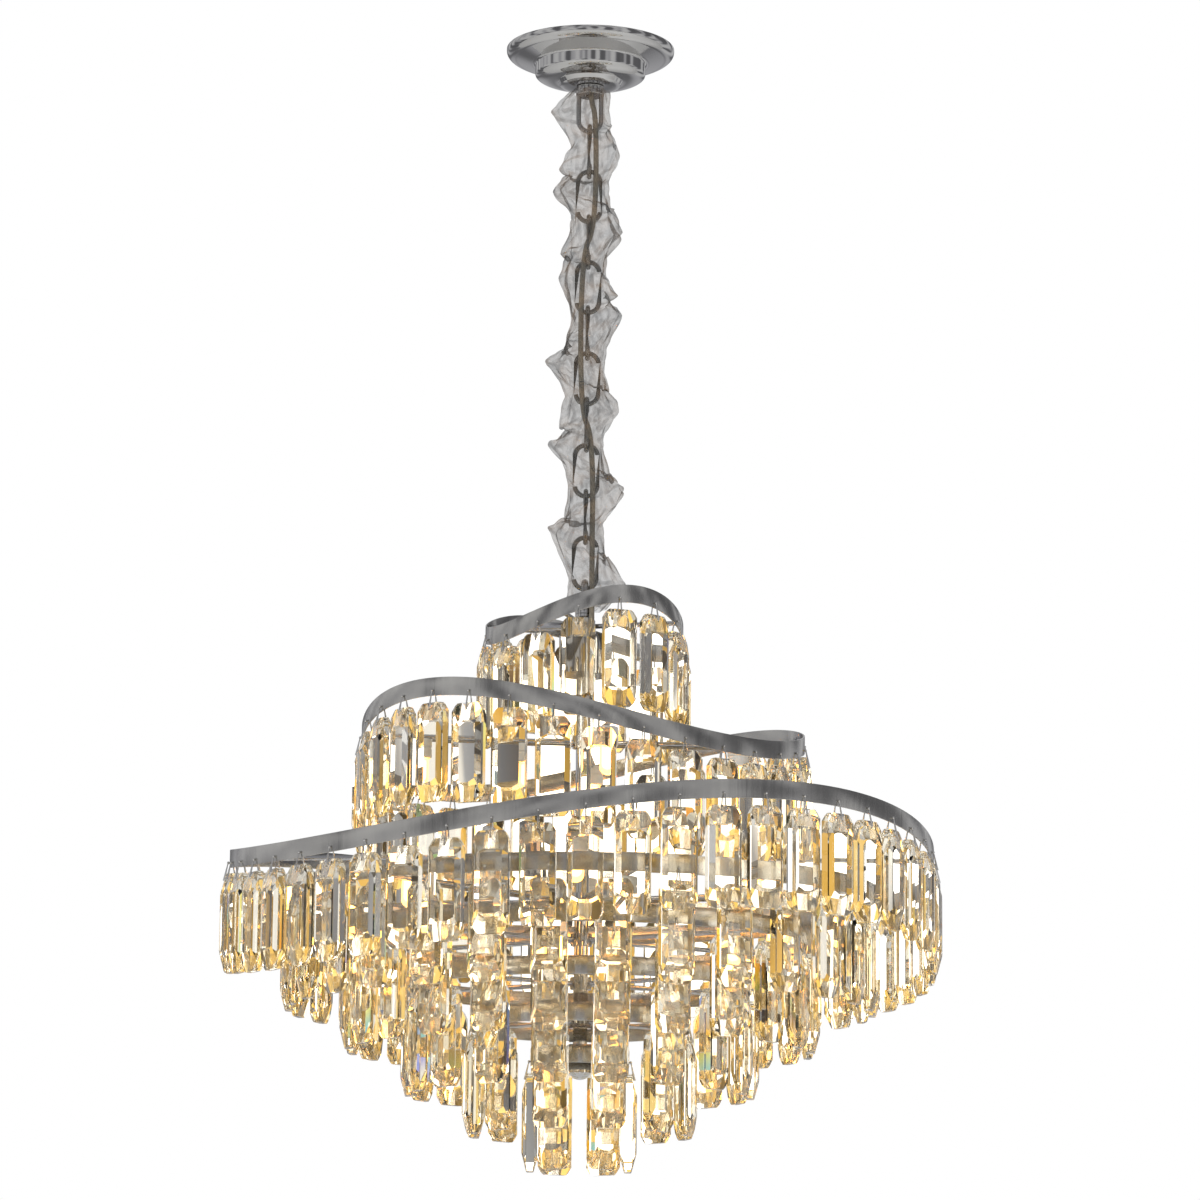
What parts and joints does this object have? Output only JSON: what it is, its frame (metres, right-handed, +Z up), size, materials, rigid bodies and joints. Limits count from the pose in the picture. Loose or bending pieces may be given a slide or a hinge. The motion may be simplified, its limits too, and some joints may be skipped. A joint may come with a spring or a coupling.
{
  "type": "crystal chandelier",
  "caption": "Ceiling chandelier on a sleeved chain, with three wavy steel bands and a stepped cone of plain rings hung with long bevelled crystals.",
  "frame": {"origin": "centre of the ceiling fixing, on the plane of the ceiling", "axes": "+Z up, out of the fixing into the ceiling; -Y is the front of the picture and +X its right"},
  "size_m": [0.5942, 0.5942, 0.955],
  "materials": {
    "chrome": "polished",
    "chain_steel": "bright nickel",
    "zinc_steel": "zinc plated",
    "cord_sheath": "clear brown sheath",
    "organza": "sheer",
    "band_steel": "polished smoke grey",
    "frame_steel": "polished",
    "hook_wire": "bright",
    "crystal": "polished clear",
    "bulb_glass": "clear, warm light",
    "lamp_ceramic": "glazed ceramic",
    "terminal_plastic": "plain"
  },
  "bodies": {
    "ceiling_mount": {"ceiling_crossbar": "zinc_steel", "threaded_nipple": "zinc_steel", "nipple_lock_nut": "zinc_steel", "canopy": "chrome", "collar_loop": "chrome", "supply_cord": "cord_sheath", "organza_sleeve": "organza"},
    "link_01": {"chain_link_01": "chain_steel"},
    "link_02": {"chain_link_02": "chain_steel"},
    "link_03": {"chain_link_03": "chain_steel"},
    "link_04": {"chain_link_04": "chain_steel"},
    "link_05": {"chain_link_05": "chain_steel"},
    "link_06": {"chain_link_06": "chain_steel"},
    "link_07": {"chain_link_07": "chain_steel"},
    "link_08": {"chain_link_08": "chain_steel"},
    "link_09": {"chain_link_09": "chain_steel"},
    "link_10": {"chain_link_10": "chain_steel"},
    "lamp": {"hang_loop": "chain_steel", "centre_column": "frame_steel", "finial_nut": "frame_steel", "junction_cup": "frame_steel", "junction_cup_lid": "frame_steel", "terminal_block": "terminal_plastic", "tier_1_band": "band_steel", "tier_1_arms": "frame_steel", "tier_1_crystals": "crystal", "tier_1_hooks": "hook_wire", "tier_2_band": "band_steel", "tier_2_arms": "frame_steel", "tier_2_crystals": "crystal", "tier_2_hooks": "hook_wire", "tier_3_band": "band_steel", "tier_3_arms": "frame_steel", "tier_3_crystals": "crystal", "tier_3_hooks": "hook_wire", "ring_a": "band_steel", "ring_a_arms": "frame_steel", "ring_a_crystals": "crystal", "ring_b": "band_steel", "ring_b_arms": "frame_steel", "ring_b_crystals": "crystal", "ring_c": "band_steel", "ring_c_arms": "frame_steel", "ring_c_crystals": "crystal", "ring_d": "band_steel", "ring_d_arms": "frame_steel", "ring_d_crystals": "crystal", "ring_e": "band_steel", "ring_e_arms": "frame_steel", "ring_hooks": "hook_wire", "band_joints": "hook_wire", "lamp_holders": "lamp_ceramic", "lamp_bulbs": "bulb_glass", "lamp_leads": "cord_sheath"},
    "bottom_crystal_1": {"bottom_crystal_1": "crystal"},
    "bottom_crystal_2": {"bottom_crystal_2": "crystal"},
    "bottom_crystal_3": {"bottom_crystal_3": "crystal"},
    "bottom_crystal_4": {"bottom_crystal_4": "crystal"},
    "bottom_crystal_5": {"bottom_crystal_5": "crystal"},
    "bottom_crystal_6": {"bottom_crystal_6": "crystal"}
  },
  "joints": [
    {"name": "link_01_swing", "type": "hinge", "parent": "ceiling_mount", "child": "link_01", "pos_m": [0, 0, -0.0725], "axis": [1, 0, 0], "range_deg": [-12, 12], "deforming": ["organza_sleeve", "supply_cord"]},
    {"name": "link_02_swing", "type": "hinge", "parent": "link_01", "child": "link_02", "pos_m": [0, 0, -0.1122], "axis": [0, 1, 0], "range_deg": [-12, 12]},
    {"name": "link_03_swing", "type": "hinge", "parent": "link_02", "child": "link_03", "pos_m": [0, 0, -0.1519], "axis": [1, 0, 0], "range_deg": [-12, 12]},
    {"name": "link_04_swing", "type": "hinge", "parent": "link_03", "child": "link_04", "pos_m": [0, 0, -0.1916], "axis": [0, 1, 0], "range_deg": [-12, 12]},
    {"name": "link_05_swing", "type": "hinge", "parent": "link_04", "child": "link_05", "pos_m": [0, 0, -0.2313], "axis": [1, 0, 0], "range_deg": [-12, 12]},
    {"name": "link_06_swing", "type": "hinge", "parent": "link_05", "child": "link_06", "pos_m": [0, 0, -0.271], "axis": [0, 1, 0], "range_deg": [-12, 12]},
    {"name": "link_07_swing", "type": "hinge", "parent": "link_06", "child": "link_07", "pos_m": [0, 0, -0.3107], "axis": [1, 0, 0], "range_deg": [-12, 12]},
    {"name": "link_08_swing", "type": "hinge", "parent": "link_07", "child": "link_08", "pos_m": [0, 0, -0.3504], "axis": [0, 1, 0], "range_deg": [-12, 12]},
    {"name": "link_09_swing", "type": "hinge", "parent": "link_08", "child": "link_09", "pos_m": [0, 0, -0.3901], "axis": [1, 0, 0], "range_deg": [-12, 12]},
    {"name": "link_10_swing", "type": "hinge", "parent": "link_09", "child": "link_10", "pos_m": [0, 0, -0.4298], "axis": [0, 1, 0], "range_deg": [-12, 12]},
    {"name": "lamp_swing", "type": "hinge", "parent": "link_10", "child": "lamp", "pos_m": [0, 0, -0.4695], "axis": [1, 0, 0], "range_deg": [-12, 12]},
    {"name": "bottom_crystal_1_swing", "type": "hinge", "parent": "lamp", "child": "bottom_crystal_1", "pos_m": [0.02, -0.03464, -0.865], "axis": [-0.866, -0.5, 0], "range_deg": [-7, 18]},
    {"name": "bottom_crystal_2_swing", "type": "hinge", "parent": "lamp", "child": "bottom_crystal_2", "pos_m": [0.04, 0, -0.865], "axis": [0, -1, 0], "range_deg": [-7, 18]},
    {"name": "bottom_crystal_3_swing", "type": "hinge", "parent": "lamp", "child": "bottom_crystal_3", "pos_m": [0.02, 0.03464, -0.865], "axis": [0.866, -0.5, 0], "range_deg": [-7, 18]},
    {"name": "bottom_crystal_4_swing", "type": "hinge", "parent": "lamp", "child": "bottom_crystal_4", "pos_m": [-0.02, 0.03464, -0.865], "axis": [0.866, 0.5, 0], "range_deg": [-7, 18]},
    {"name": "bottom_crystal_5_swing", "type": "hinge", "parent": "lamp", "child": "bottom_crystal_5", "pos_m": [-0.04, 0, -0.865], "axis": [0, 1, 0], "range_deg": [-7, 18]},
    {"name": "bottom_crystal_6_swing", "type": "hinge", "parent": "lamp", "child": "bottom_crystal_6", "pos_m": [-0.02, -0.03464, -0.865], "axis": [-0.866, 0.5, 0], "range_deg": [-7, 18]}
  ]
}
